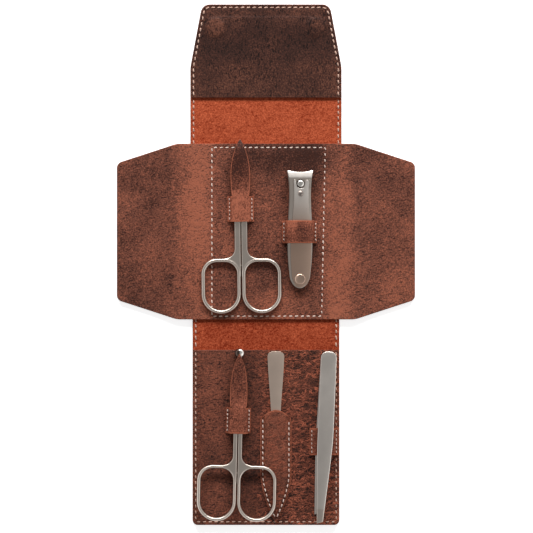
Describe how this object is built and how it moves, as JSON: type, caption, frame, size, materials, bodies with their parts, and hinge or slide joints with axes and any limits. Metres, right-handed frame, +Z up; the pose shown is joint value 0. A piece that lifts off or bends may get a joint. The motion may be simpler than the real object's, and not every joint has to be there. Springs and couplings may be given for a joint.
{
  "type": "manicure set case",
  "caption": "Folding leather manicure case lying open with scissors, round-tip scissors, nail clipper, file and tweezers held by stitched leather sheaths, bands and a pocket.",
  "frame": {"origin": "middle of the open case at the underside of the outer leather", "axes": "+Y along the strip towards the closing flap, +Z up out of the lining, +X to the right seen from above"},
  "size_m": [0.1656, 0.289, 0.0111],
  "materials": {
    "outer_leather": "matt waxed leather, dark brown",
    "brown_leather": "matt pull-up leather, mottled red-brown",
    "dark_leather": "matt dark chocolate leather",
    "crackled_leather": "matt crackled leather with reddish veins",
    "suede_lining": "rust-orange suede",
    "satin_steel": "satin stainless steel",
    "polished_steel": "polished stainless steel",
    "magnet": "nickel-plated magnet",
    "keeper": "plain steel disc"
  },
  "bodies": {
    "middle": {"outer_middle": "outer_leather", "lining_middle": "suede_lining", "wing_base": "brown_leather", "nail_sheath": "brown_leather", "clipper_band": "brown_leather"},
    "left_gusset": {"left_gusset": "brown_leather"},
    "left_wing": {"left_wing": "brown_leather"},
    "right_gusset": {"right_gusset": "brown_leather"},
    "right_wing": {"right_wing": "brown_leather"},
    "bottom_spine": {"outer_bottom_spine": "outer_leather", "lining_bottom_spine": "suede_lining"},
    "bottom_panel": {"outer_bottom_panel": "outer_leather", "lining_bottom_panel": "suede_lining", "bottom_facing": "crackled_leather", "round_sheath": "crackled_leather", "file_pocket": "crackled_leather", "tweezers_band": "crackled_leather", "keeper_left": "keeper", "keeper_right": "keeper"},
    "top_spine": {"outer_top_spine": "outer_leather", "lining_top_spine": "suede_lining"},
    "flap": {"outer_flap": "outer_leather", "lining_flap": "suede_lining", "flap_facing": "dark_leather", "magnet_left": "magnet", "magnet_right": "magnet"},
    "nail_scissors": {"nail_scissors_right": "satin_steel", "nail_scissors_screw": "polished_steel"},
    "nail_scissors_half": {"nail_scissors_left": "satin_steel"},
    "clipper": {"clipper_lower_leaf": "satin_steel", "clipper_post": "polished_steel", "clipper_rivet": "polished_steel"},
    "clipper_leaf": {"clipper_upper_leaf": "satin_steel"},
    "clipper_lever": {"clipper_lever": "satin_steel"},
    "round_scissors": {"round_scissors_right": "satin_steel", "round_scissors_screw": "polished_steel"},
    "round_scissors_half": {"round_scissors_left": "satin_steel"},
    "file": {"nail_file": "satin_steel"},
    "tweezers": {"tweezers_lower_leg": "satin_steel"},
    "tweezers_leg": {"tweezers_upper_leg": "satin_steel"}
  },
  "joints": [
    {"name": "left_wing_fold", "type": "hinge", "parent": "middle", "child": "left_gusset", "pos_m": [-0.0414, 0.0184, 0.003], "axis": [0, 1, 0], "range_deg": [0, 90]},
    {"name": "left_wing_turn", "type": "hinge", "parent": "left_gusset", "child": "left_wing", "pos_m": [-0.0474, 0.0184, 0.003], "axis": [0, 1, 0], "range_deg": [0, 90]},
    {"name": "right_wing_fold", "type": "hinge", "parent": "middle", "child": "right_gusset", "pos_m": [0.0414, 0.0184, 0.003], "axis": [0, -1, 0], "range_deg": [0, 90]},
    {"name": "right_wing_turn", "type": "hinge", "parent": "right_gusset", "child": "right_wing", "pos_m": [0.0499, 0.0184, 0.003], "axis": [0, -1, 0], "range_deg": [0, 90]},
    {"name": "bottom_fold", "type": "hinge", "parent": "middle", "child": "bottom_spine", "pos_m": [0, -0.0307, 0.0017], "axis": [-1, 0, 0], "range_deg": [0, 90]},
    {"name": "bottom_panel_turn", "type": "hinge", "parent": "bottom_spine", "child": "bottom_panel", "pos_m": [0, -0.0466, 0.0017], "axis": [-1, 0, 0], "range_deg": [0, 87]},
    {"name": "top_fold", "type": "hinge", "parent": "middle", "child": "top_spine", "pos_m": [0, 0.0675, 0.0017], "axis": [1, 0, 0], "range_deg": [0, 90]},
    {"name": "flap_turn", "type": "hinge", "parent": "top_spine", "child": "flap", "pos_m": [0, 0.0924, 0.0017], "axis": [1, 0, 0], "range_deg": [0, 93]},
    {"name": "nail_scissors_slide", "type": "slide", "parent": "middle", "child": "nail_scissors", "axis": [-0.0105, 0.9999, 0], "range_m": [-0.01, 0]},
    {"name": "nail_scissors_open", "type": "hinge", "parent": "nail_scissors", "child": "nail_scissors_half", "pos_m": [-0.014, 0.0304, 0.0046], "axis": [0, 0, 1], "range_deg": [-10, 0]},
    {"name": "clipper_slide", "type": "slide", "parent": "middle", "child": "clipper", "axis": [0, -1, 0], "range_m": [-0.04, 0]},
    {"name": "clipper_press", "type": "hinge", "parent": "clipper", "child": "clipper_leaf", "pos_m": [0.01871, -0.0066, 0.00495], "axis": [0.9962, 0, -0.0872], "range_deg": [-1.4, 0], "stiffness_Nm_per_rad": 20},
    {"name": "clipper_lever_swivel", "type": "hinge", "parent": "clipper", "child": "clipper_lever", "pos_m": [0.01904, 0.0448, 0.00868], "axis": [0.0872, 0, 0.9962], "range_deg": [-1.5, 0]},
    {"name": "round_scissors_slide", "type": "slide", "parent": "bottom_panel", "child": "round_scissors", "axis": [0.0209, 0.9993, -0.0314], "range_m": [-0.047, 0]},
    {"name": "round_scissors_open", "type": "hinge", "parent": "round_scissors", "child": "round_scissors_half", "pos_m": [-0.01539, -0.08683, 0.00578], "axis": [0.0007, 0.0314, 0.9995], "range_deg": [-10, 0]},
    {"name": "file_slide", "type": "slide", "parent": "bottom_panel", "child": "file", "axis": [0, -1, 0], "range_m": [-0.01, 0]},
    {"name": "tweezers_slide", "type": "slide", "parent": "bottom_panel", "child": "tweezers", "axis": [-0.045, -0.999, 0], "range_m": [-0.054, 0]},
    {"name": "tweezers_squeeze", "type": "hinge", "parent": "tweezers", "child": "tweezers_leg", "pos_m": [0.03455, -0.05799, 0.00425], "axis": [-0.999, 0.045, 0], "range_deg": [-1.9, 0], "stiffness_Nm_per_rad": 0.6}
  ],
  "couplings": [
    {"joint": "left_wing_turn", "follows": "left_wing_fold", "ratio": 1},
    {"joint": "right_wing_turn", "follows": "right_wing_fold", "ratio": 1},
    {"joint": "bottom_panel_turn", "follows": "bottom_fold", "ratio": 0.96667},
    {"joint": "flap_turn", "follows": "top_fold", "ratio": 1.0333}
  ]
}
